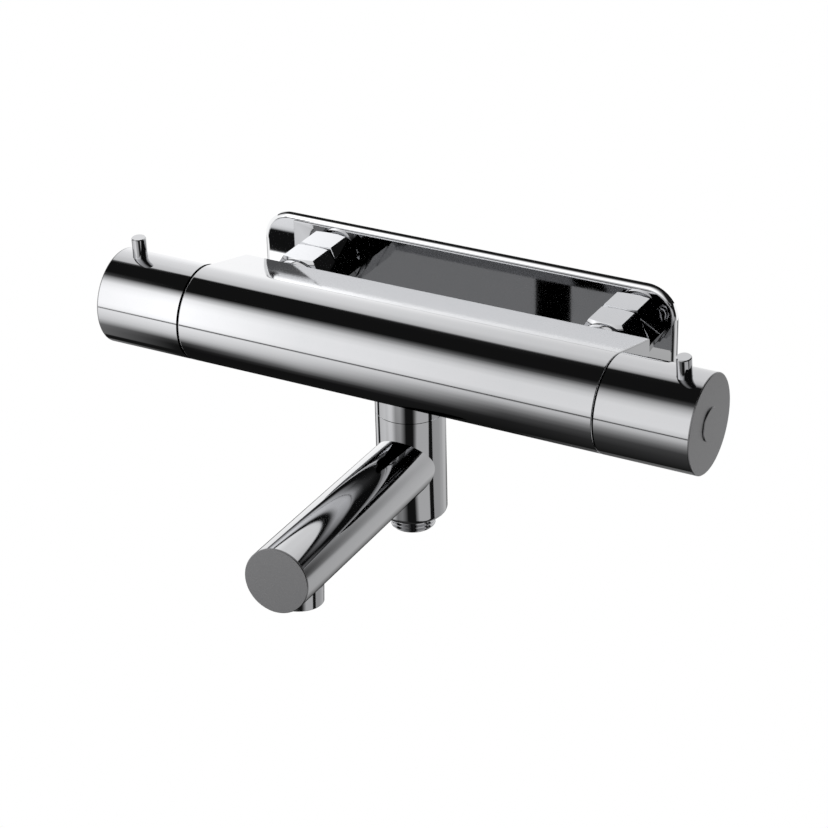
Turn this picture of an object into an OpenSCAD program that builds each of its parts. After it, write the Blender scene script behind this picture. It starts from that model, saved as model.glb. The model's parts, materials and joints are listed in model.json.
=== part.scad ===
// Wall-mounted thermostatic bath mixer tap with a swivelling spout and a shower outlet.
// Origin: centre between the two inlets, on the wall face. +Z is up and -Y points away from the wall.

/* [Bar] */
// Distance between the two water inlets
inlet_spacing = 160; // [150:1:170]
// Length of the mixer body between the two handles
body_l = 210; // [200:1:230]
// Diameter of the round bar, body and handles alike
bar_d = 45.5; // [44:0.5:50]
// Distance of the bar's axis from the wall
bar_y = 62.7; // [60:0.1:70]
// Distance of the body's rear face from the wall
back_y = 24; // [23:0.1:26]
// Height of the body's rear face
back_h = 27.8; // [26:0.2:30]
// Gap between the body and each handle
seam_gap = 0.8; // [0.3:0.1:1]

/* [Handles] */
// Length of a handle with its end disc and its seam gap
handle_l = 45; // [44:0.5:55]
// Wall of the handle sleeve
handle_wall = 2.5; // [2:0.1:3]
// Thickness of the end disc
disc_t = 0.7; // [0.5:0.1:1.5]
// Chamfer round the edge of each end disc
disc_chamfer = 0.3; // [0.2:0.1:0.6]
// Diameter of an operating pin
pin_d = 7; // [5:0.5:8]
// Height of an operating pin above the handle
pin_h = 9.7; // [8:0.1:20]
// Distance of the temperature pin from its handle's outer end
temperature_pin_inset = 12; // [9:0.2:14]
// Distance of the flow pin from its handle's outer end
flow_pin_inset = 10.8; // [9:0.2:14]
// Angle of the temperature pin, forward of straight up
temperature_lean = 2.6; // [-5:0.2:10]
// Angle of the flow pin, forward of straight up
flow_lean = 8.4; // [-5:0.2:12]
// Diameter of the raised screw cap in an end disc
cap_d = 15.4; // [13:0.2:18]
// How far the screw cap stands out of the end disc
cap_proud = 0.6; // [0.5:0.1:2]

/* [Wall plate] */
// Width of the wall plate
plate_w = 216.6; // [210:0.2:230]
// Height of the wall plate
plate_h = 57.2; // [50:0.2:60]
// Thickness of the wall plate
plate_t = 1.9; // [1.5:0.1:2.3]
// Radius of the plate's corners
plate_corner_r = 15.3; // [10:0.1:18]
// Radius of the plate's rounded edge, which the wall cuts off
plate_edge_r = 3; // [2.6:0.1:3.5]
// Depth of the gasket's groove in the back of the plate
gasket_t = 0.8; // [0.6:0.1:1]
// Width of the gasket
gasket_w = 4; // [3:0.5:5]
// Distance of the gasket from the edge of the plate
gasket_inset = 5; // [4:0.5:6]

/* [Inlets] */
// Width across the flats of a coupling nut
nut_af = 28; // [27:0.5:32]
// Length of a coupling nut
nut_l = 16.4; // [16:0.1:17]
// Gap between the plate and the nut
nut_gap = 0.3; // [0.2:0.1:0.5]
// Depth of the chamfer that rounds off the nut's corners at each end
nut_chamfer = 1.2; // [0.5:0.1:1.6]
// Diameter of the coupling thread inside the nut
coupling_d = 23; // [22:0.1:24]
// Length of a union's threaded tail behind the wall face
tail_l = 14; // [12:0.5:16]
// Water way through a union
union_bore_d = 13; // [12:0.5:15]
// Diameter of the collar's step next to the nut
collar_small_d = 25; // [24:0.5:26]
// Diameter of the collar's step next to the body
collar_big_d = 28.4; // [27:0.2:30]
// Diameter of the inlet tail's shank
shank_d = 20.2; // [19:0.1:20.4]
// Thickness of the filter washer
washer_t = 2; // [1.5:0.1:2.2]
// Opening travel of a check valve's poppet
check_travel = 3; // [2:0.5:3.5]

/* [Neck and spout] */
// Distance of the neck's axis from the wall
neck_y = 55.3; // [54:0.1:57]
// Diameter of the neck and of the spout's hub
neck_d = 32.5; // [32:0.1:34]
// Depth of the swivel seam below the inlets' level
seam_z = 29.8; // [28:0.2:33]
// Depth of the hub's lower face
hub_z = 83.2; // [82:0.2:86]
// Radius of the hub's lower edge
hub_edge_r = 2.4; // [2:0.1:3.5]
// Length of the shower outlet's thread below the hub
outlet_l = 7.3; // [6:0.1:12]
// Diameter of the spout tube
spout_d = 29.5; // [28:0.1:31]
// Wall of the spout tube
spout_wall = 1.8; // [1.5:0.1:2.2]
// Depth of the spout's axis at the neck
spout_z = 55.8; // [55:0.2:58]
// Length of the spout from the neck's axis to the face of its end disc
spout_l = 139.4; // [120:0.5:180]
// Rise of the spout above the horizontal
spout_rise = 4.8; // [0:0.1:6]
// Turn of the spout from straight ahead, towards +X
spout_turn = 4.4; // [-30:0.1:30]
// Diameter of the aerator housing
aerator_d = 22; // [20:0.5:24]
// How far the aerator stands out below the spout tube
aerator_proud = 4; // [3:0.1:8]
// Distance of the aerator's axis from the face of the spout's end disc
aerator_inset = 21.2; // [13:0.1:24]

/* [Thermostat and headwork] */
// Diameter of the thermostatic cartridge
cartridge_d = 30.8; // [30:0.1:31]
// Diameter of the ceramic headwork
headwork_d = 26; // [25:0.1:26.5]
// Diameter of both spindles
spindle_d = 8; // [7:0.1:8.5]
// Lead of the temperature spindle's thread for one turn
spindle_lead = 3; // [2:0.1:4]
// Thickness of a ceramic disc
ceramic_t = 3; // [2.5:0.1:3.5]

/* [Hidden] */
$fn = 64;

// Sides of the bar: the hot side is at -X and the cold side at +X
hot = -1;
cold = 1;
// Overrun of every cut past the face that it opens
over = 0.5;
// Crest diameter, pitch and depth of the pipe thread G 1/2
pipe_d = 20.955;
pipe_pitch = 1.814;
thread_depth = 1.16;
// Radial clearance of a running fit, and of a seat that doesn't move
run_fit = 0.05;
seat_fit = 0.1;
// Gap between two flat faces that pass each other
face_gap = 0.3;

// Bar and body
bar_r = bar_d / 2;
body_end = body_l / 2;
handle_start = body_end + seam_gap;
bar_end = body_end + handle_l;
sleeve_end = bar_end - disc_t;
back_rise = back_h / 2;
back_run = bar_y - back_y;
back_reach = norm([back_run, back_rise]);
// The flat top and underside run this far inside the bar's round, so that they join it
join_sink = 0.01;
join_r = bar_r - join_sink;
join_turn = atan2(back_rise, back_run) + acos(join_r / back_reach);

// Grooves for O-rings and bushes
groove_w = 2;
groove_t = 1.1;

// Left bore, for the thermostatic cartridge; places count outwards from the middle of the body
cartridge_r = cartridge_d / 2;
cartridge_depth = 45;
cartridge_seat = body_end - cartridge_depth;
cartridge_bore_r = cartridge_r + seat_fit;
cartridge_nut_wall = 2.4;
cartridge_nut_r = cartridge_r + cartridge_nut_wall;
cartridge_nut_l = 6.4;
nut_slot_w = 3;
cartridge_nut_start = body_end - cartridge_nut_l - face_gap;
cartridge_end = cartridge_nut_start - seat_fit;
cartridge_head = 8;
chamber_r = 11.5;
port_depth = 25;
port_step = 12;
hot_port = body_end - port_depth;
cold_port = hot_port - port_step;
port_r = 2.5;
port_groove_w = 6;
port_groove_t = 1.5;
lip_r = 8;
lip_t = 1.8;
ring_step = 6;
cartridge_rings = [cold_port - ring_step, (cold_port + hot_port) / 2, hot_port + ring_step];

// Parts inside the cartridge
spindle_step = 4;
spindle_start = hot_port + spindle_step;
spindle_flange = 2;
piston_step = 4;
piston_start = cold_port + piston_step;
piston_l = 8;
piston_wall = 2;
piston_hole_r = 1.1;
wax_r = 5;
wax_tail = 2;
wax_start = cold_port - wax_tail;
wax_nose_r = 2;
wax_nose_l = 3.4;
wax_nose_gap = 0.8;
wax_end = spindle_start - wax_nose_gap - wax_nose_l;
main_spring_r = 9.8;
main_wire_r = 0.5;
overload_spring_r = 3.6;
overload_wire_r = 0.4;

// Right bore, for the ceramic headwork
headwork_r = headwork_d / 2;
headwork_depth = 33;
headwork_seat = body_end - headwork_depth;
headwork_bore_r = headwork_r + seat_fit;
disc_r = 11;
disc_gap = 0.2;
headwork_seal_t = 1.4;
fixed_start = headwork_seat + headwork_seal_t + seat_fit;
turning_start = fixed_start + ceramic_t + run_fit;
drive_start = turning_start + ceramic_t;
drive_t = 3;
headwork_room = drive_start + drive_t + face_gap;
headwork_end = body_end - face_gap;
headwork_hex_l = 6;
headwork_nose_r = 8;
ring_from_end = 12;
headwork_ring = headwork_end - ring_from_end;
port_slack = 0.4;

// Spindles, adapters and stops
spindle_r = spindle_d / 2;
spindle_out = 11;
hex_l = 15.5;
hex_start = body_end + spindle_out;
spindle_end = hex_start + hex_l;
hex_r = spindle_r - seat_fit;
adapter_step = 4;
adapter_start = hex_start + adapter_step;
adapter_l = 14;
adapter_r = bar_r - handle_wall - seat_fit;
adapter_hub_r = 8.5;
stop_start = body_end + face_gap;
stop_l = 5;
stop_ring_r = 14;
stop_lug_r = 17.5;
stop_lug_w = 4;
lug_in_r = stop_ring_r + face_gap;
lug_w = 4;
nose_r = 12.4;
nose_l = 5;
// The fixed stop stands straight below, counted as a turn from straight up
stop_turn = 180;
// Turn of each handle from rest, towards the front and towards the wall
temperature_front = 100;
temperature_back = 40;
flow_front = 67;
flow_back = 83;
stop_margin = 1.5;
screw_r = 2;
screw_head_r = 3.6;
screw_head_l = 3;
screw_l = 9;
screw_key_r = 1.5;
screw_key_l = 2;
cap_r = cap_d / 2;
plug_l = 2.4;
pin_chamfer = 0.4;

// Plate and inlets
nut_start = plate_t + nut_gap;
nut_end = nut_start + nut_l;
nut_lip = 3.4;
nut_corner_r = nut_af / sqrt(3);
nut_face_share = 0.97;
nut_face_r = nut_face_share * nut_af / 2;
union_grip = 8.1;
union_end = nut_start + union_grip;
pipe_r = pipe_d / 2;
coupling_r = coupling_d / 2;
washer_end = union_end + washer_t;
flange_t = nut_end - nut_lip - washer_end - 2 * seat_fit;
shank_r = shank_d / 2;
shank_depth = 9.3;
shank_end = back_y + shank_depth;
filter_hole_r = 1.6;
filter_ring_r = 4.4;
check_r = 7.5;
check_wall = 1.9;
check_gap = 0.8;
check_start = washer_end + check_gap;
check_l = 16;
seat_t = 2;
poppet_t = 2;
poppet_r = 5;
stem_r = 1.4;
spider_t = 2;
spider_arm_w = 1.6;
check_spring_r = 3;
check_wire_r = 0.3;
collar_step = 2.6;

// Water ways in the body
inlet_way_r = 7;
hot_way_r = 3.6;
way_depth = 15.3;
way_y = back_y + way_depth;
cold_way_r = 2.8;
cold_way_z = 6.8;
drop_r = 3;
mix_way_r = 3.2;
out_way_r = 3;
out_way_y = 6.4;
out_way_z = 3.7;
bath_drop_r = 2.4;
bath_drop_out = 1;

// Neck, core tube and hub
neck_r = neck_d / 2;
neck_bore_r = 13;
neck_bore_top = 12;
neck_plug_r = neck_bore_r - seat_fit;
neck_room = 3;
core_r = 8;
core_bore_r = 6;
core_top = 9;
core_hole_r = 4;
spigot_r = 12;
spigot_bore_r = 9.4;
spigot_l = 15;
spigot_end = seam_z + spigot_l;
hub_top = seam_z + face_gap;
hub_bore_r = spigot_r + run_fit;
hub_room_r = 13;
hub_room_end = 72;
foot_step = 0.8;
foot_r = pipe_r + foot_step;
foot_bore_r = foot_r + run_fit;
foot_top = 70;
groove_step = 3.6;
upper_ring_z = seam_z + groove_step;
bush_z = seam_z + 2 * groove_step;
clip_z = seam_z + 3 * groove_step;
lower_ring_z = (hub_room_end + hub_z) / 2;
clip_t = 1.2;
clip_out = 0.8;
clip_in = 0.9;
clip_opening = 5;

// Spout and aerator
spout_r = spout_d / 2;
spout_bore_r = spout_r - spout_wall;
spout_disc_t = 0.9;
spout_plug_l = 1.5;
aerator_shoulder = 1;
aerator_wall = 1.2;
aerator_depth = 4.4;
aerator_r = aerator_d / 2;
aerator_spigot_r = aerator_r - aerator_shoulder;
aerator_bore_r = aerator_spigot_r - aerator_wall;
aerator_top = spout_r - aerator_depth;
aerator_low = spout_r + aerator_proud;
insert_l = 5;
insert_hole_r = 0.9;
insert_hole_step = 2.6;
insert_rings = 2;
insert_start = aerator_low - aerator_wall - insert_l - seat_fit;
aerator_washer_t = 1.5;

// Springs
spring_steps = 14;
spring_sides = 6;

// A point on the bar's axis at a distance from the centre, with local +Z pointing outwards
module on_bar(side, from) {
    translate([side * from, -bar_y, 0]) rotate([0, side * 90, 0]) children();
}

// A point on an inlet's axis at a distance from the wall, with local +Z pointing away from the wall
module on_inlet(side, from) {
    translate([side * inlet_spacing / 2, -from, 0]) rotate([90, 0, 0]) children();
}

// The neck's axis, with local +Z pointing down from the inlets' level
module on_neck(depth) {
    translate([0, -neck_y, -depth]) mirror([0, 0, 1]) children();
}

// The spout's own frame: local +Z runs along the tube from the neck's axis, local +Y points up
module on_spout(from) {
    translate([0, -neck_y, -spout_z]) rotate([0, 0, spout_turn]) rotate([90 - spout_rise, 0, 0])
        translate([0, 0, from]) children();
}

module tube(r_out, r_in, l) {
    difference() {
        cylinder(r = r_out, h = l);
        translate([0, 0, -over]) cylinder(r = r_in, h = l + 2 * over);
    }
}

// A disc with a chamfer round its outer face
module chamfered_disc(r, l, c) {
    cylinder(r = r, h = l - c);
    translate([0, 0, l - c]) cylinder(r1 = r, r2 = r - c, h = c);
}

// Pipe thread as rings with flat crests and a chamfered end
module thread_rings(r, l, pitch) {
    flat = pitch / 4;
    chamfer = thread_depth / 2;
    turns = floor((l - chamfer) / pitch);
    start = l - chamfer - turns * pitch;
    rotate_extrude() polygon([
        [0, 0], [r, 0], [r, start],
        for (i = [0 : turns - 1]) each [
            [r - thread_depth, start + (i + 1) * pitch - (pitch + flat) / 2],
            [r, start + (i + 1) * pitch - flat],
            [r, start + (i + 1) * pitch]
        ],
        [r - chamfer, l], [0, l]
    ]);
}

// An O-ring that fills a groove in a shaft
module o_ring(shaft_r) {
    rotate_extrude() translate([shaft_r - groove_t / 2, 0]) circle(r = groove_t / 2);
}

// What a groove takes out of a shaft, centred on its own height
module groove(shaft_r, w, t) {
    translate([0, 0, -w / 2]) difference() {
        cylinder(r = shaft_r + over, h = w);
        translate([0, 0, -over]) cylinder(r = shaft_r - t, h = w + 2 * over);
    }
}

// A coil spring: one round wire swept along a helix between two heights
module coil_spring(r, wire_r, l, turns) {
    steps = turns * spring_steps;
    rise = (l - 2 * wire_r) / steps;
    points = [
        for (i = [0 : steps], k = [0 : spring_sides - 1])
            let (a = i * 360 / spring_steps, b = k * 360 / spring_sides, q = r + wire_r * cos(b))
            [q * cos(a), q * sin(a), wire_r + i * rise + wire_r * sin(b)]
    ];
    last = steps * spring_sides;
    polyhedron(points, [
        [for (k = [0 : spring_sides - 1]) k],
        [for (k = [spring_sides - 1 : -1 : 0]) last + k],
        for (i = [0 : steps - 1], k = [0 : spring_sides - 1])
            let (a = i * spring_sides, n = (k + 1) % spring_sides)
            each [[a + k, a + spring_sides + k, a + n], [a + n, a + spring_sides + k, a + spring_sides + n]]
    ]);
}

// The body's round bar with the flat top and underside that run back to its rear face
module body_solid(l) {
    translate([-l / 2, -bar_y, 0]) rotate([90, 0, 90]) {
        cylinder(r = bar_r, h = l, $fn = 128);
        linear_extrude(l) polygon([
            [0, 0],
            join_r * [cos(join_turn), sin(join_turn)],
            [back_run, back_rise],
            [back_run, -back_rise],
            join_r * [cos(join_turn), -sin(join_turn)]
        ]);
    }
}

module rounded_plate(w, h, r, t) {
    translate([-w / 2 + r, 0, -h / 2]) cube_on_wall(w - 2 * r, h, t);
    translate([-w / 2, 0, -h / 2 + r]) cube_on_wall(w, h - 2 * r, t);
    for (x = [-1, 1], z = [-1, 1])
        translate([x * (w / 2 - r), 0, z * (h / 2 - r)]) rotate([90, 0, 0]) cylinder(r = r, h = t);
}

module cube_on_wall(w, h, t) {
    translate([0, -t, 0]) cube([w, t, h]);
}

// The gasket's ring, or with slack and an overrun the groove that it lies in
module gasket_ring(slack, out) {
    w = plate_w - 2 * gasket_inset;
    h = plate_h - 2 * gasket_inset;
    r = plate_corner_r - gasket_inset;
    inner = gasket_w + slack;
    translate([0, out, 0]) difference() {
        rounded_plate(w + 2 * slack, h + 2 * slack, r + slack, gasket_t + out);
        translate([0, over, 0])
            rounded_plate(w - 2 * inner, h - 2 * inner, r - inner, gasket_t + out + 2 * over);
    }
}

// Half of the plate's rounded edge, seen along it, from the arc's middle outwards
module rim_profile(edge, sink) {
    intersection() {
        translate([0, -sink]) circle(r = edge);
        square([edge, plate_t]);
    }
}

module wall_plate() {
    edge = plate_edge_r;
    sink = edge - plate_t;
    rim = sqrt(edge * edge - sink * sink);
    inner_w = plate_w - 2 * rim;
    inner_h = plate_h - 2 * rim;
    corner_r = plate_corner_r - rim;
    corner_x = inner_w / 2 - corner_r;
    corner_z = inner_h / 2 - corner_r;
    color("gainsboro") difference() {
        union() {
            rounded_plate(inner_w, inner_h, corner_r, plate_t);
            for (x = [-1, 1], z = [-1, 1])
                translate([x * corner_x, 0, z * corner_z])
                    rotate([90, 0, 0]) rotate_extrude() translate([corner_r, 0]) rim_profile(edge, sink);
            for (turn = [0, 180]) rotate([0, turn, 0]) {
                translate([inner_w / 2, 0, corner_z]) mirror([0, 1, 0]) mirror([0, 0, 1])
                    linear_extrude(2 * corner_z) rim_profile(edge, sink);
                translate([-corner_x, 0, inner_h / 2]) rotate([0, 90, 0]) mirror([0, 1, 0]) mirror([1, 0, 0])
                    linear_extrude(2 * corner_x) rim_profile(edge, sink);
            }
        }
        gasket_ring(seat_fit, over);
        for (side = [hot, cold])
            on_inlet(side, -over) cylinder(r = coupling_r + seat_fit, h = plate_t + 2 * over);
    }
}

module plate_gasket() {
    color("dimgray") gasket_ring(0, 0);
}

module wall_union(side) {
    color("darkgoldenrod") difference() {
        union() {
            on_inlet(side, 0) mirror([0, 0, 1]) thread_rings(pipe_r, tail_l, pipe_pitch);
            on_inlet(side, 0) cylinder(r = coupling_r, h = union_end);
        }
        on_inlet(side, -tail_l - over) cylinder(d = union_bore_d, h = tail_l + union_end + 2 * over);
    }
}

module coupling_nut(side) {
    bevel = nut_chamfer;
    color("silver") on_inlet(side, nut_start) difference() {
        intersection() {
            cylinder(r = nut_corner_r, h = nut_l, $fn = 6);
            union() {
                cylinder(r1 = nut_face_r, r2 = nut_corner_r, h = bevel);
                translate([0, 0, bevel]) cylinder(r = nut_corner_r, h = nut_l - 2 * bevel);
                translate([0, 0, nut_l - bevel]) cylinder(r1 = nut_corner_r, r2 = nut_face_r, h = bevel);
            }
        }
        translate([0, 0, -over]) cylinder(r = coupling_r + seat_fit, h = nut_l - nut_lip + over);
        translate([0, 0, -over]) cylinder(r = shank_r + seat_fit, h = nut_l + 2 * over);
    }
}

module inlet_tail(side) {
    color("darkgoldenrod") difference() {
        union() {
            on_inlet(side, washer_end + seat_fit) cylinder(r = coupling_r, h = flange_t);
            on_inlet(side, washer_end + seat_fit)
                cylinder(r = shank_r, h = shank_end - washer_end - seat_fit);
        }
        on_inlet(side, washer_end - over)
            cylinder(r = check_r + seat_fit, h = shank_end - washer_end + 2 * over);
    }
}

module inlet_collar(side) {
    color("silver") on_inlet(side, nut_end + nut_gap) difference() {
        union() {
            cylinder(d = collar_small_d, h = collar_step);
            translate([0, 0, collar_step])
                cylinder(d = collar_big_d, h = back_y - nut_end - nut_gap - collar_step);
        }
        translate([0, 0, -over]) cylinder(r = shank_r + seat_fit, h = back_y - nut_end + 2 * over);
    }
}

// Rubber ring with a coarse filter across it
module filter_washer(side) {
    color("dimgray") on_inlet(side, union_end) difference() {
        cylinder(r = coupling_r, h = washer_t);
        translate([0, 0, -over]) cylinder(r = filter_hole_r, h = washer_t + 2 * over);
        for (a = [0 : 60 : 300])
            rotate(a) translate([filter_ring_r, 0, -over])
                cylinder(r = filter_hole_r, h = washer_t + 2 * over);
    }
}

module check_housing(side) {
    bore_r = check_r - check_wall;
    color("whitesmoke") on_inlet(side, check_start) {
        difference() {
            cylinder(r = check_r, h = check_l);
            translate([0, 0, -over]) cylinder(r = poppet_r - check_wall / 2, h = seat_t + 2 * over);
            translate([0, 0, seat_t]) cylinder(r = bore_r, h = check_l - seat_t + over);
        }
        translate([0, 0, check_l - spider_t]) difference() {
            union() {
                cylinder(r = 2 * stem_r, h = spider_t - seat_fit);
                for (a = [0, 120, 240]) rotate(a) translate([0, -spider_arm_w / 2, 0])
                    cube([bore_r + check_wall / 2, spider_arm_w, spider_t - seat_fit]);
            }
            translate([0, 0, -over]) cylinder(r = stem_r + run_fit, h = spider_t + 2 * over);
        }
    }
}

module check_poppet(side) {
    color("white") on_inlet(side, check_start + seat_t + seat_fit) {
        cylinder(r = poppet_r, h = poppet_t);
        cylinder(r = stem_r, h = check_l - seat_t - spider_t / 2);
    }
}

module check_spring(side) {
    room = check_l - seat_t - seat_fit - poppet_t - spider_t;
    color("lightgray") on_inlet(side, check_start + seat_t + seat_fit + poppet_t + seat_fit)
        coil_spring(check_spring_r, check_wire_r, room - 2 * seat_fit, 4);
}

module mixer_body() {
    color("silver") difference() {
        body_solid(body_l);
        // Cartridge bore, its threaded mouth and the way for mixed water
        on_bar(hot, cartridge_seat) cylinder(r = cartridge_bore_r, h = body_end - cartridge_seat + over);
        on_bar(hot, cartridge_end)
            cylinder(r = cartridge_nut_r + seat_fit, h = body_end - cartridge_end + over);
        on_bar(hot, -headwork_seat - over)
            cylinder(r = mix_way_r, h = headwork_seat + cartridge_seat + 2 * over);
        // Headwork bore
        on_bar(cold, headwork_seat) cylinder(r = headwork_bore_r, h = body_end - headwork_seat + over);
        // Threaded inlets and the ways behind them
        for (side = [hot, cold])
            on_inlet(side, back_y - over)
                cylinder(r = shank_r + seat_fit, h = shank_depth + over + face_gap);
        on_inlet(hot, back_y) cylinder(r = hot_way_r, h = way_y - back_y);
        translate([-max(hot_port, inlet_spacing / 2) - drop_r, -way_y, 0]) rotate([0, 90, 0])
            cylinder(r = drop_r, h = abs(hot_port - inlet_spacing / 2) + 2 * drop_r);
        translate([-hot_port, -way_y, 0]) rotate([90, 0, 0])
            cylinder(r = drop_r, h = bar_y - way_y - chamber_r);
        on_inlet(cold, back_y) cylinder(r = inlet_way_r, h = way_y - back_y);
        translate([-cold_port, -way_y, cold_way_z]) rotate([0, 90, 0])
            cylinder(r = cold_way_r, h = cold_port + inlet_spacing / 2);
        translate([-cold_port, -way_y, cold_way_z]) rotate([90, 0, 0])
            cylinder(r = cold_way_r, h = bar_y - way_y - chamber_r);
        // Ways from the headwork to the spout and to the shower outlet
        for (y = [-out_way_y, out_way_y])
            translate([0, y - bar_y, -out_way_z]) rotate([0, 90, 0])
                cylinder(r = out_way_r, h = headwork_seat + over);
        translate([0, bath_drop_r - bath_drop_out - neck_bore_r - neck_y, -out_way_z]) mirror([0, 0, 1])
            cylinder(r = bath_drop_r, h = neck_bore_top - out_way_z + over);
        on_neck(out_way_z) cylinder(r = core_hole_r, h = core_top - out_way_z + over);
        // Neck bore and the seat of the core tube
        on_neck(core_top) cylinder(r = core_r + seat_fit, h = neck_bore_top - core_top + over);
        on_neck(neck_bore_top) cylinder(r = neck_bore_r, h = bar_r);
    }
}

module cartridge_body() {
    head = cartridge_end - cartridge_head;
    color("antiquewhite") difference() {
        on_bar(hot, cartridge_seat + seat_fit)
            cylinder(r = cartridge_r, h = cartridge_end - cartridge_seat - seat_fit);
        on_bar(hot, cartridge_seat + lip_t) cylinder(r = chamber_r, h = head - cartridge_seat - lip_t);
        on_bar(hot, cartridge_seat - over) cylinder(r = lip_r, h = lip_t + 2 * over);
        on_bar(hot, head - over) cylinder(r = spindle_r + run_fit, h = cartridge_head + 2 * over);
        for (x = [hot_port, cold_port], a = [0 : 90 : 270])
            on_bar(hot, x) rotate([0, 0, a]) rotate([0, 90, 0])
                cylinder(r = port_r, h = cartridge_r + over);
        for (x = [hot_port, cold_port]) on_bar(hot, x) groove(cartridge_r, port_groove_w, port_groove_t);
        for (x = cartridge_rings) on_bar(hot, x) groove(cartridge_r, groove_w, groove_t);
    }
}

module cartridge_o_rings() {
    color("black") for (x = cartridge_rings) on_bar(hot, x) o_ring(cartridge_r);
}

module cartridge_nut() {
    color("peru") on_bar(hot, cartridge_nut_start) difference() {
        tube(cartridge_nut_r, nose_r + seat_fit, cartridge_nut_l);
        for (a = [0, 90])
            rotate(a)
                translate([-cartridge_nut_r - over, -nut_slot_w / 2, cartridge_nut_l - nut_slot_w / 2])
                cube([2 * (cartridge_nut_r + over), nut_slot_w, nut_slot_w]);
    }
}

// A spindle from its inner face to its hexagon end, with a threaded hole for the handle screw
module spindle(side, from) {
    difference() {
        union() {
            on_bar(side, from) cylinder(r = spindle_r, h = hex_start - from);
            on_bar(side, hex_start) cylinder(r = hex_r, h = spindle_end - hex_start, $fn = 6);
        }
        on_bar(side, spindle_end - screw_l) cylinder(r = screw_r + run_fit, h = screw_l + over);
    }
}

module temperature_spindle() {
    flange_l = cartridge_end - cartridge_head - spindle_start - face_gap;
    color("burlywood") {
        spindle(hot, spindle_start);
        on_bar(hot, spindle_start) cylinder(r = spindle_r + spindle_flange, h = flange_l);
    }
}

module regulating_piston() {
    inner_r = chamber_r - run_fit - piston_wall;
    color("lightgray") on_bar(hot, piston_start) difference() {
        union() {
            tube(chamber_r - run_fit, inner_r, piston_l);
            tube(chamber_r - piston_wall / 2, wax_r, piston_wall);
        }
        for (a = [0 : 45 : 315])
            rotate(a) translate([(wax_r + inner_r) / 2, 0, -over])
                cylinder(r = piston_hole_r, h = piston_wall + 2 * over);
    }
}

module wax_element() {
    color("goldenrod") {
        on_bar(hot, wax_start) cylinder(r = wax_r, h = wax_end - wax_start);
        on_bar(hot, wax_end) cylinder(r = wax_nose_r, h = wax_nose_l);
    }
}

module main_spring() {
    from = cartridge_seat + lip_t + seat_fit;
    color("lightgray") on_bar(hot, from)
        coil_spring(main_spring_r, main_wire_r, piston_start - from - seat_fit, 4);
}

module overload_spring() {
    from = wax_end + seat_fit;
    color("lightgray") on_bar(hot, from)
        coil_spring(overload_spring_r, overload_wire_r, spindle_start - from - seat_fit, 3);
}

// Fixed ring round the spindle with a lug that ends the handle's travel
module stop_ring(side, nose) {
    color("dimgray") on_bar(side, stop_start) {
        tube(stop_ring_r, spindle_r + face_gap, stop_l);
        translate([0, 0, -nose_l]) tube(nose, spindle_r + face_gap, nose_l);
        stop_lug(side, stop_turn, stop_ring_r - face_gap, stop_lug_r, stop_lug_w, stop_l);
    }
}

// A lug at an angle from straight up, counted towards the front
module stop_lug(side, turn, r_in, r_out, w, l) {
    rotate(side > 0 ? stop_turn + turn : -turn) translate([r_in, -w / 2, 0]) cube([r_out - r_in, w, l]);
}

// Plastic piece between a spindle and its handle, with two lugs that meet the stop
module handle_adapter(side, front, back) {
    half = asin(stop_lug_w / 2 / lug_in_r) + asin(lug_w / 2 / lug_in_r) + stop_margin;
    color("ivory") {
        difference() {
            on_bar(side, adapter_start) union() {
                cylinder(r = adapter_hub_r, h = adapter_l);
                cylinder(r = adapter_r, h = adapter_l / 2);
            }
            on_bar(side, adapter_start - over)
                cylinder(r = spindle_r, h = spindle_end - adapter_start + over + seat_fit, $fn = 6);
            on_bar(side, adapter_start) cylinder(r = screw_r + seat_fit, h = adapter_l + over);
        }
        for (turn = [stop_turn - front - half, stop_turn + back + half])
            on_bar(side, stop_start + face_gap)
                stop_lug(side, turn, lug_in_r, stop_lug_r, lug_w,
                    adapter_start - stop_start - face_gap + over);
    }
}

module handle_sleeve(side, inset, lean) {
    color("silver") difference() {
        on_bar(side, handle_start) tube(bar_r, bar_r - handle_wall, sleeve_end - handle_start);
        pin_hole(side, inset, lean);
    }
}

// The pin's axis, leaning forward of straight up, with local +Z pointing out of the handle
module on_pin(side, inset, lean, from) {
    translate([side * (bar_end - inset), -bar_y, 0]) rotate([lean, 0, 0])
        translate([0, 0, from]) children();
}

module pin_hole(side, inset, lean) {
    on_pin(side, inset, lean, bar_r - 2 * handle_wall)
        cylinder(r = pin_d / 2 + run_fit, h = 3 * handle_wall);
}

module operating_pin(side, inset, lean) {
    color("silver") on_pin(side, inset, lean, bar_r - handle_wall)
        chamfered_disc(pin_d / 2, handle_wall + pin_h, pin_chamfer);
}

module end_disc(side) {
    color("gray") on_bar(side, sleeve_end) difference() {
        union() {
            chamfered_disc(bar_r, disc_t, disc_chamfer);
            translate([0, 0, -plug_l]) tube(adapter_r, adapter_r - handle_wall, plug_l + seat_fit);
        }
        translate([0, 0, -over]) cylinder(r = cap_r - disc_chamfer, h = disc_t + 2 * over);
    }
}

module screw_cap(side) {
    plug_r = cap_r - disc_chamfer - seat_fit;
    color("gray") {
        on_bar(side, sleeve_end - plug_l) cylinder(r = plug_r, h = plug_l + disc_t + seat_fit);
        on_bar(side, bar_end) chamfered_disc(cap_r, cap_proud, disc_chamfer);
    }
}

module handle_screw(side) {
    head_start = adapter_start + adapter_l;
    color("lightgray") difference() {
        union() {
            on_bar(side, head_start - screw_l) cylinder(r = screw_r, h = screw_l + seat_fit);
            on_bar(side, head_start) cylinder(r = screw_head_r, h = screw_head_l);
        }
        on_bar(side, head_start + screw_head_l - screw_key_l)
            cylinder(r = screw_key_r, h = screw_key_l + over, $fn = 6);
    }
}

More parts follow.
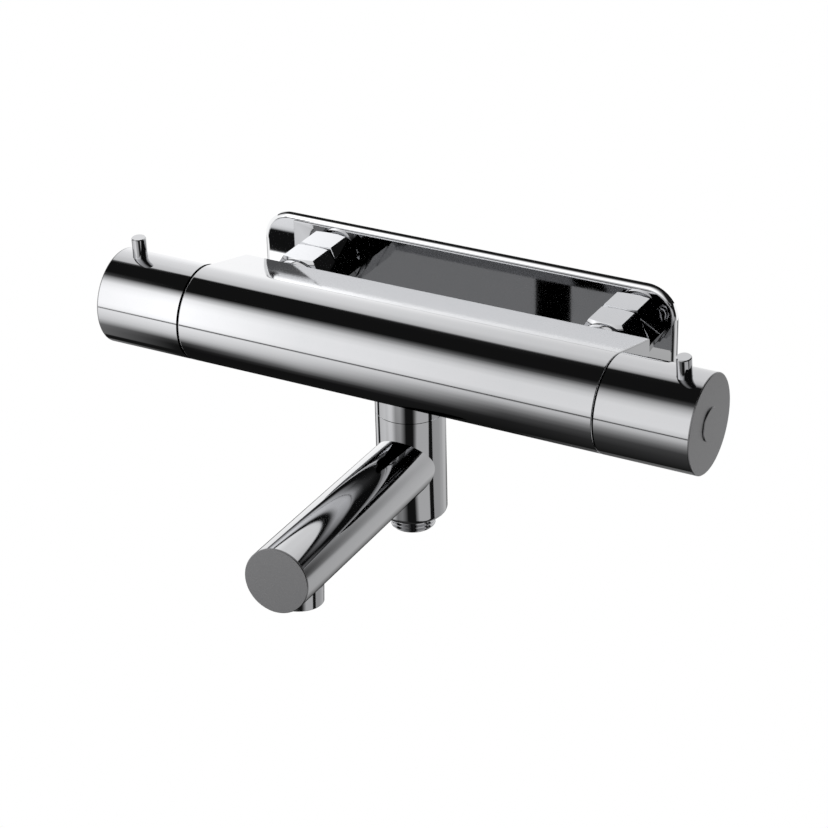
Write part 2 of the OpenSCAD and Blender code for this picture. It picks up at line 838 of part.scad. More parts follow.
module headwork_body() {
    round_l = headwork_end - headwork_seat - seat_fit - headwork_hex_l;
    color("darkgoldenrod") difference() {
        union() {
            on_bar(cold, headwork_seat + seat_fit) cylinder(r = headwork_r, h = round_l);
            on_bar(cold, headwork_seat + round_l)
                cylinder(r = headwork_r, h = headwork_hex_l + seat_fit, $fn = 6);
        }
        on_bar(cold, headwork_seat - over)
            cylinder(r = disc_r + seat_fit, h = headwork_room - headwork_seat + over);
        on_bar(cold, headwork_seat)
            cylinder(r = spindle_r + run_fit, h = headwork_end - headwork_seat + over);
        on_bar(cold, headwork_end - nose_l) cylinder(r = headwork_nose_r + seat_fit, h = nose_l + over);
        on_bar(cold, headwork_ring) groove(headwork_r, groove_w, groove_t);
    }
}

module headwork_spindle() {
    color("burlywood") {
        spindle(cold, drive_start + seat_fit);
        on_bar(cold, drive_start + seat_fit) cylinder(r = disc_r - disc_gap, h = drive_t - seat_fit);
    }
}

// Ports of the ceramic discs: the way in at the centre and two ways out below it
module disc_ports(from, l) {
    on_bar(cold, from - over) cylinder(r = mix_way_r, h = l + 2 * over);
    for (y = [-out_way_y, out_way_y])
        translate([from - over, y - bar_y, -out_way_z]) rotate([0, 90, 0])
            cylinder(r = out_way_r - port_slack, h = l + 2 * over);
}

module headwork_seal() {
    color("dimgray") difference() {
        on_bar(cold, headwork_seat + seat_fit) cylinder(r = disc_r, h = headwork_seal_t);
        disc_ports(headwork_seat, headwork_seal_t + seat_fit);
    }
}

module fixed_disc() {
    color("white") difference() {
        on_bar(cold, fixed_start) cylinder(r = disc_r, h = ceramic_t);
        disc_ports(fixed_start, ceramic_t);
    }
}

// The turning disc has a slot that joins the way in to one way out, or to none at rest
module turning_disc() {
    slot_t = ceramic_t * 2 / 3;
    slot_l = norm([out_way_y, out_way_z]) + out_way_r / 2;
    color("whitesmoke") difference() {
        on_bar(cold, turning_start) cylinder(r = disc_r - disc_gap, h = ceramic_t);
        on_bar(cold, turning_start - over) cylinder(r = mix_way_r, h = slot_t + over);
        translate([turning_start - over, -bar_y - out_way_r / 2, -slot_l])
            cube([slot_t + over, out_way_r, slot_l]);
    }
}

module headwork_o_ring() {
    color("black") on_bar(cold, headwork_ring) o_ring(headwork_r);
}

module neck_collar() {
    color("silver") difference() {
        union() {
            difference() {
                on_neck(neck_bore_top) cylinder(r = neck_r, h = seam_z - neck_bore_top);
                body_solid(body_l);
            }
            on_neck(neck_bore_top + neck_room)
                cylinder(r = neck_plug_r, h = seam_z - neck_bore_top - neck_room);
            on_neck(seam_z - over) cylinder(r = spigot_r, h = spigot_end - seam_z + over);
        }
        on_neck(0) cylinder(r = spigot_bore_r, h = spigot_end + over);
        for (depth = [upper_ring_z, bush_z]) on_neck(depth) groove(spigot_r, groove_w, groove_t);
        on_neck(clip_z) groove(spigot_r, clip_t + seat_fit, clip_in);
    }
}

module shower_outlet_tube() {
    color("silver") difference() {
        union() {
            on_neck(core_top + seat_fit) cylinder(r = core_r, h = foot_top - core_top);
            on_neck(foot_top) cylinder(r = foot_r, h = hub_z - foot_top);
            on_neck(hub_z) thread_rings(pipe_r, outlet_l, pipe_pitch);
        }
        on_neck(0) cylinder(r = core_bore_r, h = hub_z + outlet_l + over);
        on_neck(lower_ring_z) groove(foot_r, groove_w, groove_t);
    }
}

module swivel_spout() {
    edge = hub_edge_r;
    color("silver") difference() {
        union() {
            on_neck(hub_top) cylinder(r = neck_r, h = hub_z - hub_top - edge);
            on_neck(hub_top) cylinder(r = neck_r - edge, h = hub_z - hub_top);
            on_neck(hub_z - edge) rotate_extrude() translate([neck_r - edge, 0]) circle(r = edge);
            on_spout(0) cylinder(r = spout_r, h = spout_l - spout_disc_t);
        }
        on_neck(hub_top - over) cylinder(r = hub_bore_r, h = spigot_end - hub_top + 2 * over);
        on_neck(clip_z - clip_t / 2 - face_gap)
            cylinder(r = spigot_r + clip_out + face_gap, h = clip_t + 2 * face_gap);
        on_neck(spigot_end) cylinder(r = hub_room_r, h = hub_room_end - spigot_end);
        on_neck(hub_room_end - over) cylinder(r = foot_bore_r, h = hub_z - hub_room_end + 2 * over);
        on_spout(0) cylinder(r = spout_bore_r, h = spout_l);
        on_spout(spout_l - aerator_inset) rotate([90, 0, 0])
            cylinder(r = aerator_spigot_r + seat_fit, h = spout_r + over);
    }
}

module spout_end_disc() {
    color("gray") {
        on_spout(spout_l - spout_disc_t) chamfered_disc(spout_r, spout_disc_t, disc_chamfer);
        on_spout(spout_l - spout_disc_t - spout_plug_l)
            cylinder(r = spout_bore_r - seat_fit, h = spout_plug_l + seat_fit);
    }
}

module swivel_o_rings() {
    color("black") {
        on_neck(upper_ring_z) o_ring(spigot_r);
        on_neck(lower_ring_z) o_ring(foot_r);
    }
}

module swivel_bush() {
    color("ivory") on_neck(bush_z - groove_w / 2 + seat_fit)
        tube(spigot_r, spigot_r - groove_t, groove_w - 2 * seat_fit);
}

// Open spring ring in the collar's lowest groove
module retaining_ring() {
    color("gray") on_neck(clip_z - clip_t / 2) difference() {
        tube(spigot_r + clip_out, spigot_r - clip_in + run_fit, clip_t);
        translate([0, -clip_opening / 2, -over]) cube([neck_r, clip_opening, clip_t + 2 * over]);
    }
}

// The aerator's axis square to the spout tube, with local +Z pointing down from the tube's axis
module on_aerator(from) {
    on_spout(spout_l - aerator_inset) rotate([90, 0, 0]) translate([0, 0, from]) children();
}

module aerator_housing() {
    color("silver") difference() {
        union() {
            difference() {
                on_aerator(aerator_top) chamfered_disc(aerator_r, aerator_low - aerator_top, disc_chamfer);
                on_spout(0) cylinder(r = spout_r, h = spout_l);
            }
            on_aerator(aerator_top)
                cylinder(r = aerator_spigot_r, h = aerator_low - aerator_top - aerator_wall);
        }
        on_aerator(aerator_top - over)
            cylinder(r = aerator_bore_r, h = aerator_low - aerator_top - aerator_wall + over);
        on_aerator(aerator_top)
            cylinder(r = aerator_bore_r - aerator_wall, h = aerator_low - aerator_top + over);
    }
}

module aerator_insert() {
    color("lightgray") on_aerator(insert_start) difference() {
        cylinder(r = aerator_bore_r - seat_fit, h = insert_l);
        translate([0, 0, -over]) cylinder(r = insert_hole_r, h = insert_l + 2 * over);
        for (ring = [1 : insert_rings], a = [0 : 60 / ring : 359])
            rotate(a) translate([ring * insert_hole_step, 0, -over])
                cylinder(r = insert_hole_r, h = insert_l + 2 * over);
    }
}

module aerator_washer() {
    color("black") on_aerator(insert_start - aerator_washer_t)
        tube(aerator_bore_r - seat_fit, aerator_bore_r - 2 * aerator_wall, aerator_washer_t);
}

module hot_union() { wall_union(hot); }
module cold_union() { wall_union(cold); }
module hot_coupling_nut() { coupling_nut(hot); }
module cold_coupling_nut() { coupling_nut(cold); }
module hot_inlet_tail() { inlet_tail(hot); }
module cold_inlet_tail() { inlet_tail(cold); }
module hot_inlet_collar() { inlet_collar(hot); }
module cold_inlet_collar() { inlet_collar(cold); }
module hot_filter_washer() { filter_washer(hot); }
module cold_filter_washer() { filter_washer(cold); }
module hot_check_housing() { check_housing(hot); }
module cold_check_housing() { check_housing(cold); }
module hot_check_poppet() { check_poppet(hot); }
module cold_check_poppet() { check_poppet(cold); }
module hot_check_spring() { check_spring(hot); }
module cold_check_spring() { check_spring(cold); }
module temperature_stop_ring() { stop_ring(hot, nose_r); }
module flow_stop_ring() { stop_ring(cold, headwork_nose_r); }
module temperature_adapter() { handle_adapter(hot, temperature_front, temperature_back); }
module flow_adapter() { handle_adapter(cold, flow_front, flow_back); }
module temperature_handle() { handle_sleeve(hot, temperature_pin_inset, temperature_lean); }
module flow_handle() { handle_sleeve(cold, flow_pin_inset, flow_lean); }
module temperature_pin() { operating_pin(hot, temperature_pin_inset, temperature_lean); }
module flow_pin() { operating_pin(cold, flow_pin_inset, flow_lean); }
module temperature_end_disc() { end_disc(hot); }
module flow_end_disc() { end_disc(cold); }
module temperature_screw() { handle_screw(hot); }
module flow_screw() { handle_screw(cold); }
module temperature_screw_cap() { screw_cap(hot); }
module flow_screw_cap() { screw_cap(cold); }

wall_plate();
plate_gasket();
hot_union();
cold_union();
hot_coupling_nut();
cold_coupling_nut();
hot_inlet_tail();
cold_inlet_tail();
hot_inlet_collar();
cold_inlet_collar();
hot_filter_washer();
cold_filter_washer();
hot_check_housing();
cold_check_housing();
hot_check_poppet();
cold_check_poppet();
hot_check_spring();
cold_check_spring();
mixer_body();
cartridge_body();
cartridge_nut();
temperature_spindle();
regulating_piston();
wax_element();
main_spring();
overload_spring();
cartridge_o_rings();
temperature_stop_ring();
temperature_adapter();
temperature_handle();
temperature_pin();
temperature_end_disc();
temperature_screw();
temperature_screw_cap();
headwork_body();
headwork_spindle();
turning_disc();
fixed_disc();
headwork_seal();
headwork_o_ring();
flow_stop_ring();
flow_adapter();
flow_handle();
flow_pin();
flow_end_disc();
flow_screw();
flow_screw_cap();
neck_collar();
shower_outlet_tube();
swivel_spout();
spout_end_disc();
swivel_o_rings();
swivel_bush();
retaining_ring();
aerator_housing();
aerator_insert();
aerator_washer();
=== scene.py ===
import json
import math

import bpy
from mathutils import Matrix, Vector


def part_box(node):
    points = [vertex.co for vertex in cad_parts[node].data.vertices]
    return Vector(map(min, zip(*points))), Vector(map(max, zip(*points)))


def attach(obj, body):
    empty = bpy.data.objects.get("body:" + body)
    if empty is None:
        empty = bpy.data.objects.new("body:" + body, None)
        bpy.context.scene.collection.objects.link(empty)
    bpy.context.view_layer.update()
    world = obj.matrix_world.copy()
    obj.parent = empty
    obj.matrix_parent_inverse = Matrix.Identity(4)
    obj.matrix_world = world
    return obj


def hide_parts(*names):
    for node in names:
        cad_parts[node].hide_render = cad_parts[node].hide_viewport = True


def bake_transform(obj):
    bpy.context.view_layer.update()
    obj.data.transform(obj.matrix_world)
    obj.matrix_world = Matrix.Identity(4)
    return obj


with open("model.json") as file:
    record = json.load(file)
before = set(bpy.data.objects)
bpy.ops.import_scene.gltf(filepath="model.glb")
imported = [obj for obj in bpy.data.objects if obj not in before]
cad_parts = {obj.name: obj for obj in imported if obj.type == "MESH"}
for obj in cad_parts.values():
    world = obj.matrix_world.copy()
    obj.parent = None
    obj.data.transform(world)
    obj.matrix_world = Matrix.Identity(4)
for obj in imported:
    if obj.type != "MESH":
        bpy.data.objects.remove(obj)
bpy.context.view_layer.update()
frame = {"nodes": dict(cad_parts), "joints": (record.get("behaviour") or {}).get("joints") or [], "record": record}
nodes = frame["nodes"]
mm = 0.001
barAxisY = frame["joints"][0]["pos_m"][1]  # the axis of the bar runs along X there
white, black = (1, 1, 1, 1), (0, 0, 0, 1)
print("stage: frame loaded with", len(nodes), "nodes")


def toLinear(hexColor):
    parts = [int(hexColor[i:i + 2], 16) / 255 for i in (1, 3, 5)]
    return tuple(c / 12.92 if c <= 0.04045 else ((c + 0.055) / 1.055) ** 2.4 for c in parts) + (1,)


# adds a node; a socket value is either a number or the output that feeds it
def addNode(tree, kind, sockets=None, **settings):
    node = tree.nodes.new(kind)
    for name, value in settings.items():
        setattr(node, name, value)
    for name, value in (sockets or {}).items():
        if isinstance(value, bpy.types.NodeSocket):
            tree.links.new(value, node.inputs[name])
        else:
            node.inputs[name].default_value = value
    return node


def newMaterial(name):
    material = bpy.data.materials.new(name)
    material.use_nodes = True
    material.node_tree.nodes.clear()
    return material, material.node_tree


# two colours or tones, mixed by a factor
def mixTones(tree, factor, first, second):
    return addNode(tree, "ShaderNodeMix", {
        "Factor": factor, "A": first, "B": second}, data_type="RGBA").outputs[2]


# what all finishes share: the noise's detail, and the part of its range that the roughness spans
grainShape = {"detail": 2, "low": 0.3, "high": 0.7}


# grain of a surface: a noise whose size is given in millimetres, between 0 and 1
def surfaceGrain(tree, sizeMm):
    place = addNode(tree, "ShaderNodeTexCoord").outputs["Object"]
    return addNode(tree, "ShaderNodeTexNoise", {
        "Vector": place, "Scale": 1 / (sizeMm * mm), "Detail": grainShape["detail"],
    }).outputs["Fac"]


# one metal or plastic: its colour and gloss, with grain in the roughness and in the relief
def finishedSurface(name, look):
    material, tree = newMaterial(name)
    grain = surfaceGrain(tree, look["grainMm"])
    rough = addNode(tree, "ShaderNodeMapRange", {
        "Value": grain, "From Min": grainShape["low"], "From Max": grainShape["high"],
        "To Min": look["roughness"] - look["spread"], "To Max": look["roughness"] + look["spread"],
    })
    relief = addNode(tree, "ShaderNodeBump", {
        "Height": grain, "Strength": look["relief"], "Distance": look["reliefMm"] * mm,
    })
    tone = mixTones(tree, grain, toLinear(look["color"]), toLinear(look["colorWorn"]))
    shader = addNode(tree, "ShaderNodeBsdfPrincipled", {
        "Base Color": tone, "Metallic": look["metallic"],
        "Roughness": rough.outputs["Result"], "Normal": relief.outputs["Normal"],
    })
    addNode(tree, "ShaderNodeOutputMaterial", {"Surface": shader.outputs["BSDF"]})
    return material


# chromium plate over buffed brass: a clear mirror with a faint polishing haze
def polishedChrome():
    return finishedSurface("polishedChrome", {
        "color": "#C6C6C8", "colorWorn": "#C3C4C6", "metallic": 1,
        "roughness": 0.05, "spread": 0.012, "grainMm": 7, "relief": 0.02, "reliefMm": 0.02,
    })


# chromium plate on a pressed and polished sheet: the clearest mirror of the tap
def mirrorPlate():
    return finishedSurface("mirrorPlate", {
        "color": "#F6F6F7", "colorWorn": "#F3F4F5", "metallic": 1,
        "roughness": 0.03, "spread": 0.01, "grainMm": 9, "relief": 0.015, "reliefMm": 0.02,
    })


# fine-blasted chromium plate: soft grey that shows no clear reflection
def satinChrome():
    return finishedSurface("satinChrome", {
        "color": "#8C8C8D", "colorWorn": "#868688", "metallic": 1,
        "roughness": 0.3, "spread": 0.03, "grainMm": 0.5, "relief": 0.08, "reliefMm": 0.03,
    })


# turned brass, bare: warm yellow, a little uneven from the tool
def turnedBrass():
    return finishedSurface("turnedBrass", {
        "color": "#C9A85C", "colorWorn": "#B08E45", "metallic": 1,
        "roughness": 0.3, "spread": 0.06, "grainMm": 0.7, "relief": 0.15, "reliefMm": 0.03,
    })


# moulded nitrile rubber: near black and dull
def nitrileRubber():
    return finishedSurface("nitrileRubber", {
        "color": "#17181A", "colorWorn": "#26272A", "metallic": 0,
        "roughness": 0.62, "spread": 0.08, "grainMm": 0.8, "relief": 0.2, "reliefMm": 0.05,
    })


# moulded acetal: milky white with a low sheen
def whiteAcetal():
    return finishedSurface("whiteAcetal", {
        "color": "#E9E8E2", "colorWorn": "#DEDCD4", "metallic": 0,
        "roughness": 0.42, "spread": 0.06, "grainMm": 1.2, "relief": 0.12, "reliefMm": 0.03,
    })


# glass-filled nylon: dark grey, slightly rough from the fibres
def filledNylon():
    return finishedSurface("filledNylon", {
        "color": "#3A3B3D", "colorWorn": "#4A4B4E", "metallic": 0,
        "roughness": 0.5, "spread": 0.08, "grainMm": 0.9, "relief": 0.2, "reliefMm": 0.04,
    })


# drawn stainless wire and turned stainless: grey metal with a fine uneven sheen
def stainlessSteel():
    return finishedSurface("stainlessSteel", {
        "color": "#B9BABC", "colorWorn": "#A4A5A8", "metallic": 1,
        "roughness": 0.25, "spread": 0.05, "grainMm": 0.6, "relief": 0.1, "reliefMm": 0.02,
    })


# lapped alumina: hard white with a soft gloss
def lappedAlumina():
    return finishedSurface("lappedAlumina", {
        "color": "#F1EFEA", "colorWorn": "#E8E6E0", "metallic": 0,
        "roughness": 0.25, "spread": 0.04, "grainMm": 1.0, "relief": 0.05, "reliefMm": 0.01,
    })


finishes = {
    "chrome": polishedChrome(), "plate_chrome": mirrorPlate(), "satin_metal": satinChrome(),
    "brass": turnedBrass(), "rubber": nitrileRubber(), "white_plastic": whiteAcetal(),
    "grey_plastic": filledNylon(), "steel": stainlessSteel(), "ceramic": lappedAlumina(),
}
for part in frame["record"]["subparts"]:
    for place in nodes[part["node"]].material_slots:
        place.material = finishes[part["material_slot"]]
print("stage: every CAD node has its finish")


# places a finished object at the origin, with its place in its mesh
def settle(piece):
    bpy.ops.object.select_all(action="DESELECT")
    bpy.context.view_layer.objects.active = piece
    piece.select_set(True)
    bpy.ops.object.transform_apply(location=True, rotation=True, scale=True)


mergeGap = 0.002 * mm


# a copy of a CAD node's shape with its loose triangles merged
def mergedCopy(node, name):
    piece = bpy.data.objects.new(name, nodes[node].data.copy())
    bpy.context.collection.objects.link(piece)
    bpy.ops.object.select_all(action="DESELECT")
    bpy.context.view_layer.objects.active = piece
    piece.select_set(True)
    bpy.ops.object.mode_set(mode="EDIT")
    bpy.ops.mesh.select_all(action="SELECT")
    bpy.ops.mesh.remove_doubles(threshold=mergeGap)
    bpy.ops.object.mode_set(mode="OBJECT")
    return piece


# the body's cast edges, rounded by buffing: its two ends and the long edges of its rear face,
# which lie above and below its inlets; lengths in mm, angles in degrees
bodyEdges = {
    "width": 0.7, "rounds": 3, "flatAngle": 0.3, "smoothAngle": 32, "near": 0.05, "rimDepth": 0.4,
    "cornerHeight": 13,
}


def roundedBody(values):
    low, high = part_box("mixer_body")
    piece = mergedCopy("mixer_body", "roundedBody")
    bpy.ops.object.mode_set(mode="EDIT")
    bpy.ops.mesh.select_all(action="SELECT")
    bpy.ops.mesh.dissolve_limited(angle_limit=math.radians(values["flatAngle"]))
    bpy.ops.mesh.select_all(action="DESELECT")
    bpy.ops.object.mode_set(mode="OBJECT")
    mesh = piece.data
    near, cornerHeight = values["near"] * mm, values["cornerHeight"] * mm
    rimRadius = high.z - values["rimDepth"] * mm
    for edge in mesh.edges:
        ends = [mesh.vertices[i].co for i in edge.vertices]
        atEnd = all(min(abs(p.x - low.x), abs(p.x - high.x)) < near for p in ends)
        outside = all(math.hypot(p.y - barAxisY, p.z) > rimRadius for p in ends)
        atBack = all(abs(p.y - high.y) < near for p in ends)
        level = all(abs(abs(p.z) - abs(ends[0].z)) < near for p in ends)
        onCorner = atBack and level and abs(ends[0].z) > cornerHeight
        edge.select = (atEnd and outside) or onCorner
    print("stage: body edges to round", sum(edge.select for edge in mesh.edges))
    bpy.ops.object.mode_set(mode="EDIT")
    bpy.ops.mesh.select_mode(type="EDGE")
    bpy.ops.mesh.bevel(
        offset=values["width"] * mm, segments=values["rounds"], affect="EDGES", clamp_overlap=False)
    bpy.ops.object.mode_set(mode="OBJECT")
    bpy.ops.object.shade_smooth_by_angle(angle=math.radians(values["smoothAngle"]))
    bpy.ops.object.modifier_add(type="WEIGHTED_NORMAL")
    piece.modifiers[-1].keep_sharp = True
    bpy.ops.object.modifier_apply(modifier=piece.modifiers[-1].name)
    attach(piece, "tap")
    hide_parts("mixer_body")


roundedBody(bodyEdges)
print("stage: body rounded")


# a spring, whose one end stays in the body while the other follows the piece it presses on: here a copy with its
# loose triangles merged stands in place of its CAD node, and its two ends are worked out but not used
def liveSpring(node, axis, fixedEnd):
    low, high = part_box(node)
    start, end = (low + high) / 2, (low + high) / 2
    along = "xyz".index(axis)
    start[along], end[along] = sorted(
        (low[along], high[along]), key=lambda place: abs(place - fixedEnd))
    piece = mergedCopy(node, node.replace("_spring", "LiveSpring").replace("_check", "Check"))
    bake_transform(piece)
    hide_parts(node)


for joint in frame["record"]["behaviour"]["joints"]:
    for spring in joint.get("deforming_nodes", []):
        axis = spring["mode"][-1]
        liveSpring(spring["node"], axis, spring["fixed_end_" + axis + "_m"])


# the camera of the photograph, from a fit to the edges of the tap: metres, degrees, and mm of lens
photoCamera = {
    "place": (0.5203, -0.9895, 0.5317), "turn": 29.03, "tilt": -27.85, "lean": -1.44,
    "focal": 114.57, "sensor": 36, "reach": 50,
}


def makeCamera(values):
    bpy.ops.object.camera_add(location=values["place"])
    camera = bpy.context.object
    camera.name = "photoCamera"
    camera.rotation_euler = (
        Matrix.Rotation(math.radians(values["turn"]), 3, "Z")
        @ Matrix.Rotation(math.radians(90 + values["tilt"]), 3, "X")
        @ Matrix.Rotation(math.radians(values["lean"]), 3, "Z")
    ).to_euler()
    camera.data.lens = values["focal"]
    camera.data.sensor_width = values["sensor"]
    camera.data.clip_end = values["reach"]
    bpy.context.scene.camera = camera


makeCamera(photoCamera)


# What polished metal sees round the bar: bright cards and dark gaps at angles in degrees about
# the bar's axis, from the wall side (0) over the top (90) and the front (180) to below (270).
# The levels start and end at the seam, and the peak is the highest that they may be. Each zone
# stands at a place along the room in metres, and its levels are the brightness of what hangs
# there. From the third reflection on, the later levels are seen, which fade to black towards the
# right and give the tones between the plate and the body.
studio = {
    "radius": 0.62, "length": 3.2, "facets": 96, "seam": 291, "peak": 2.6,
    "laterFade": (-0.05, 0.15), "laterDepth": (2, 3),
    "later": [(-69, 0.2), (118, 0.2), (128, 1.38), (184, 1.38), (194, 0.27), (240, 0.27),
              (260, 0.05), (291, 0.05)],
    "zones": [
        (-0.75, [(-69, 0.01), (-66, 0.01), (-61, 0.85), (-28, 1.0), (31, 1.2), (66, 0.8),
                 (72, 0.7), (75, 0.01), (105, 0.01), (118, 0.5), (140, 1.0), (211, 0.95),
                 (272, 0.75), (276, 0.01), (291, 0.01)]),
        (-0.47, [(-69, 0.01), (-34, 0.01), (-28, 1.0), (-19, 1.3), (13, 1.4), (31, 1.22),
                 (52, 1.1), (61, 0.97), (69, 0.85), (71, 0.01), (113, 0.01), (121, 0.7),
                 (131, 1.55), (141, 1.75), (150, 1.85), (180, 1.85), (189, 1.7), (191.1, 1.5),
                 (192, 0.15), (194.2, 0.15), (195, 1.4), (211, 1.15), (221, 0.9), (231, 0.4),
                 (238, 0.05), (251, 0.01), (291, 0.01)]),
        (-0.36, [(-69, 0.01), (-34, 0.01), (-28, 1.0), (-19, 1.25), (13, 1.35), (31, 1.18),
                 (52, 1.07), (66, 0.85), (71, 0.6), (73, 0.01), (113, 0.01), (121, 0.4),
                 (131, 1.0), (141, 1.25), (150, 1.38), (180, 1.38), (189, 1.3), (191.1, 1.25),
                 (192, 0.15), (194.2, 0.15), (195, 1.2), (211, 1.0), (221, 0.8), (231, 0.55),
                 (241, 0.25), (251, 0.05), (261, 0.01), (291, 0.01)]),
        (-0.2, [(-69, 0.01), (-34, 0.01), (-28, 0.8), (-19, 1.0), (13, 1.1), (31, 1.02),
                (52, 1.0), (66, 0.8), (72, 0.7), (75, 0.02), (86, 0.01), (113, 0.01),
                (121, 0.09), (131, 0.6), (141, 0.95), (151, 1.16), (180, 1.18), (189, 0.98),
                (191.1, 0.93), (192, 0.1), (194.2, 0.1), (195, 0.88), (201, 0.78), (211, 0.42),
                (221, 0.2), (231, 0.09), (251, 0.02), (291, 0.01)]),
        (-0.05, [(-69, 0.2), (-44, 0.25), (-34, 0.15), (-28, 0.75), (-19, 0.95), (31, 1.02),
                 (52, 1.0), (66, 0.8), (75, 0.01), (113, 0.01), (121, 0.09), (131, 0.6),
                 (141, 0.95), (151, 1.16), (180, 1.18), (189, 1.0), (191.1, 0.95), (192, 0.1),
                 (194.2, 0.1), (195, 0.88), (201, 0.78), (211, 0.42), (221, 0.2), (231, 0.07),
                 (291, 0.01)]),
        (0.12, [(-69, 0.3), (-45, 0.6), (-31, 0.75), (-19, 0.9), (31, 0.95), (52, 0.8),
                (66, 0.6), (75, 0.01), (110, 0.01), (131, 0.4), (151, 0.9), (189, 0.85),
                (200, 0.4), (207, 0.01), (291, 0.01)]),
        (0.36, [(-69, 0.3), (-45, 0.55), (-31, 0.6), (-19, 0.6), (31, 0.6), (52, 0.4), (66, 0.3),
                (75, 0.01), (110, 0.01), (291, 0.01)]),
        (0.52, [(-69, 0.45), (-28, 0.5), (-20, 0.01), (60, 0.01), (110, 0.01), (210, 0.01),
                (216, 0.3), (222, 0.62), (266, 0.62), (270, 0.01), (291, 0.01)]),
    ],
}


def rampOf(tree, factor, levels, values):
    first = values["seam"] - 360
    ramp = addNode(tree, "ShaderNodeValToRGB", {"Fac": factor})
    points = ramp.color_ramp.elements
    while len(points) < len(levels):
        points.new(1.0)
    for point, (angle, level) in zip(points, levels):
        point.position = (angle - first) / 360
        point.color = (level / values["peak"],) * 3 + (1,)
    return ramp.outputs["Color"]


# a card that only mirrors see
def hideFromAllButMirrors(card):
    for ray in ("visible_camera", "visible_diffuse", "visible_shadow", "visible_volume_scatter"):
        setattr(card, ray, False)


def makeStudio(values):
    low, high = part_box("mixer_body")
    bpy.ops.object.select_all(action="DESELECT")
    bpy.ops.mesh.primitive_cylinder_add(
        vertices=values["facets"], radius=values["radius"], depth=values["length"],
        end_fill_type="NOTHING", location=((low.x + high.x) / 2, barAxisY, 0),
        rotation=(0, math.radians(90), 0))
    tunnel = bpy.context.object
    tunnel.name = "studioTunnel"
    settle(tunnel)
    material, tree = newMaterial("studioTones")
    spot = addNode(tree, "ShaderNodeTexCoord").outputs["Object"]
    centred = addNode(tree, "ShaderNodeMapping", {"Vector": spot, "Location": (0, -barAxisY, 0)})
    turned = addNode(tree, "ShaderNodeVectorRotate", {
        "Vector": centred.outputs["Vector"], "Angle": math.radians(180 - values["seam"]),
    }, rotation_type="X_AXIS")
    axes = addNode(tree, "ShaderNodeSeparateXYZ", {"Vector": turned.outputs["Vector"]})
    angle = addNode(tree, "ShaderNodeMath", {
        0: axes.outputs["Z"], 1: axes.outputs["Y"]}, operation="ARCTAN2")
    share = addNode(tree, "ShaderNodeMapRange", {
        "Value": angle.outputs["Value"], "From Min": -math.pi, "From Max": math.pi,
    })
    place, levels = values["zones"][0]
    tone = rampOf(tree, share.outputs["Result"], levels, values)
    for nextPlace, levels in values["zones"][1:]:
        side = addNode(tree, "ShaderNodeMapRange", {
            "Value": axes.outputs["X"], "From Min": place, "From Max": nextPlace})
        nextTone = rampOf(tree, share.outputs["Result"], levels, values)
        tone, place = mixTones(tree, side.outputs["Result"], tone, nextTone), nextPlace
    fadeStart, fadeEnd = values["laterFade"]
    toRight = addNode(tree, "ShaderNodeMapRange", {
        "Value": axes.outputs["X"], "From Min": fadeStart, "From Max": fadeEnd})
    later = rampOf(tree, share.outputs["Result"], values["later"], values)
    later = mixTones(tree, toRight.outputs["Result"], later, black)
    rays = addNode(tree, "ShaderNodeLightPath")
    lastEarly, firstLater = values["laterDepth"]
    isLater = addNode(tree, "ShaderNodeMapRange", {
        "Value": rays.outputs["Ray Depth"], "From Min": lastEarly, "From Max": firstLater})
    whole = mixTones(tree, isLater.outputs["Result"], tone, later)
    glow = addNode(tree, "ShaderNodeEmission", {"Color": whole, "Strength": values["peak"]})
    addNode(tree, "ShaderNodeOutputMaterial", {"Surface": glow.outputs["Emission"]})
    tunnel.data.materials.append(material)
    hideFromAllButMirrors(tunnel)


makeStudio(studio)

# a pale floor below the tap and lamps that only diffuse surfaces see
surroundings = {"floorHeight": -0.7, "floorSize": 12, "floorColor": "#FAFAFA", "worldShade": 0.55}
lamps = {
    "topSoftbox": {"place": (0.2, -0.6, 1.5), "size": 1.2, "watts": 12},
    "leftSoftbox": {"place": (-1.4, -0.9, 0.6), "size": 1.0, "watts": 9},
    "rightSoftbox": {"place": (1.5, -0.5, 0.5), "size": 1.0, "watts": 6},
}


def makeFloor(values):
    bpy.ops.object.select_all(action="DESELECT")
    bpy.ops.mesh.primitive_plane_add(
        size=values["floorSize"], location=(0, 0, values["floorHeight"]))
    floor = bpy.context.object
    floor.name = "paleFloor"
    settle(floor)
    material, tree = newMaterial("palePaper")
    rays = addNode(tree, "ShaderNodeLightPath")
    seen = addNode(tree, "ShaderNodeMath", {
        0: rays.outputs["Is Camera Ray"], 1: rays.outputs["Is Glossy Ray"],
    }, operation="MAXIMUM")
    paper = addNode(tree, "ShaderNodeBsdfDiffuse", {"Color": toLinear(values["floorColor"])})
    glow = addNode(tree, "ShaderNodeEmission", {"Color": white, "Strength": 1})
    both = addNode(tree, "ShaderNodeMixShader", {
        0: seen.outputs["Value"], 1: paper.outputs["BSDF"], 2: glow.outputs["Emission"]})
    addNode(tree, "ShaderNodeOutputMaterial", {"Surface": both.outputs["Shader"]})
    floor.data.materials.append(material)


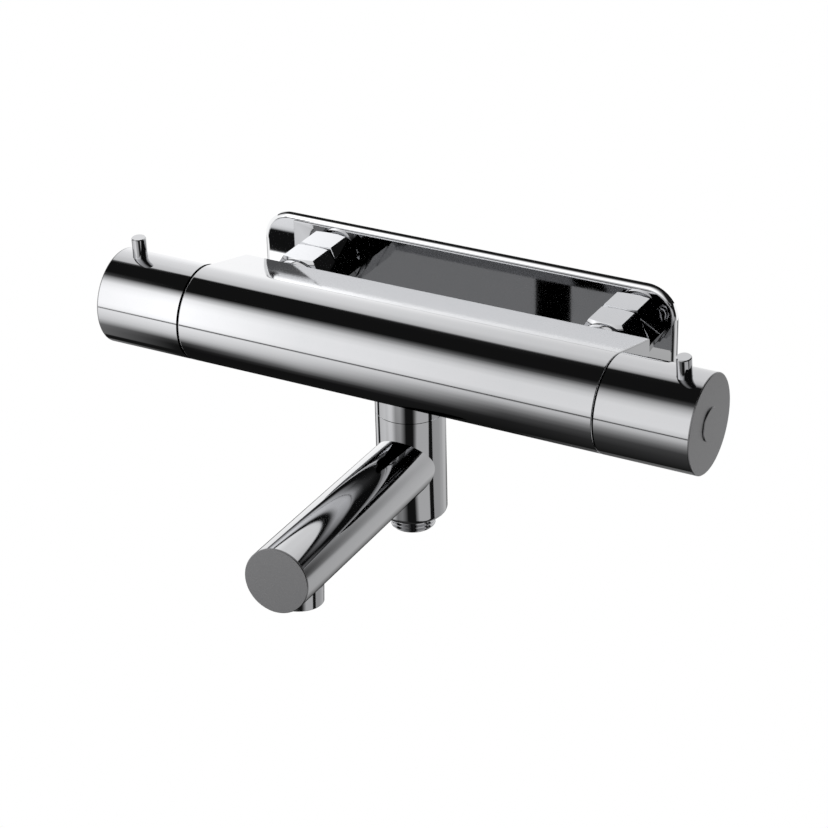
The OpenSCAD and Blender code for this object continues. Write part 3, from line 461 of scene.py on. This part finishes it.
def makeWorld(values):
    world = bpy.data.worlds.new("whiteStudio")
    bpy.context.scene.world = world
    world.use_nodes = True
    tree = world.node_tree
    tree.nodes.clear()
    rays = addNode(tree, "ShaderNodeLightPath")
    mirror = addNode(tree, "ShaderNodeMath", {
        0: rays.outputs["Is Glossy Ray"], 1: rays.outputs["Is Transmission Ray"],
    }, operation="MAXIMUM")
    seen = addNode(tree, "ShaderNodeMath", {
        0: rays.outputs["Is Camera Ray"], 1: mirror.outputs["Value"]}, operation="MAXIMUM")
    strength = addNode(tree, "ShaderNodeMapRange", {
        "Value": seen.outputs["Value"], "To Min": values["worldShade"], "To Max": 1.0})
    glow = addNode(tree, "ShaderNodeBackground", {
        "Color": white, "Strength": strength.outputs["Result"]})
    addNode(tree, "ShaderNodeOutputWorld", {"Surface": glow.outputs["Background"]})


def makeLamps(allLamps):
    target = Vector((0, barAxisY, 0))
    for name, values in allLamps.items():
        bpy.ops.object.light_add(type="AREA", location=values["place"])
        lamp = bpy.context.object
        lamp.name = name
        lamp.rotation_euler = (Vector(values["place"]) - target).to_track_quat("Z", "Y").to_euler()
        lamp.data.size = values["size"]
        lamp.data.energy = values["watts"]
        lamp.visible_glossy = False


makeFloor(surroundings)
makeWorld(surroundings)
makeLamps(lamps)
bpy.context.scene.view_settings.view_transform = "Standard"

# the photograph's bar shows no spout in it, and its plate shows the neck as a black band: the
# mirrors see a black roll of card inside the hub instead of the pieces below the body; its width is
# a share of the neck collar's
blackRoll = {
    "width": 0.55, "facets": 64,
    "leftOut": (
        "neck_collar", "shower_outlet_tube", "swivel_spout", "spout_end_disc", "aerator_housing",
        "aerator_insert", "aerator_washer", "swivel_bush", "swivel_o_rings", "retaining_ring"),
}


def makeBlackRoll(values):
    low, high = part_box("neck_collar")
    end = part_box("swivel_spout")[0].z
    bpy.ops.object.select_all(action="DESELECT")
    bpy.ops.mesh.primitive_cylinder_add(
        vertices=values["facets"], radius=values["width"] * (high.x - low.x) / 2,
        depth=high.z - end,
        location=((low.x + high.x) / 2, (low.y + high.y) / 2, (high.z + end) / 2))
    roll = bpy.context.object
    roll.name = "blackRoll"
    settle(roll)
    material, tree = newMaterial("blackCard")
    card = addNode(tree, "ShaderNodeEmission", {"Color": black, "Strength": 1})
    addNode(tree, "ShaderNodeOutputMaterial", {"Surface": card.outputs["Emission"]})
    roll.data.materials.append(material)
    hideFromAllButMirrors(roll)
    for name in values["leftOut"]:
        nodes[name].visible_glossy = False


makeBlackRoll(blackRoll)
print("stage: studio ready")
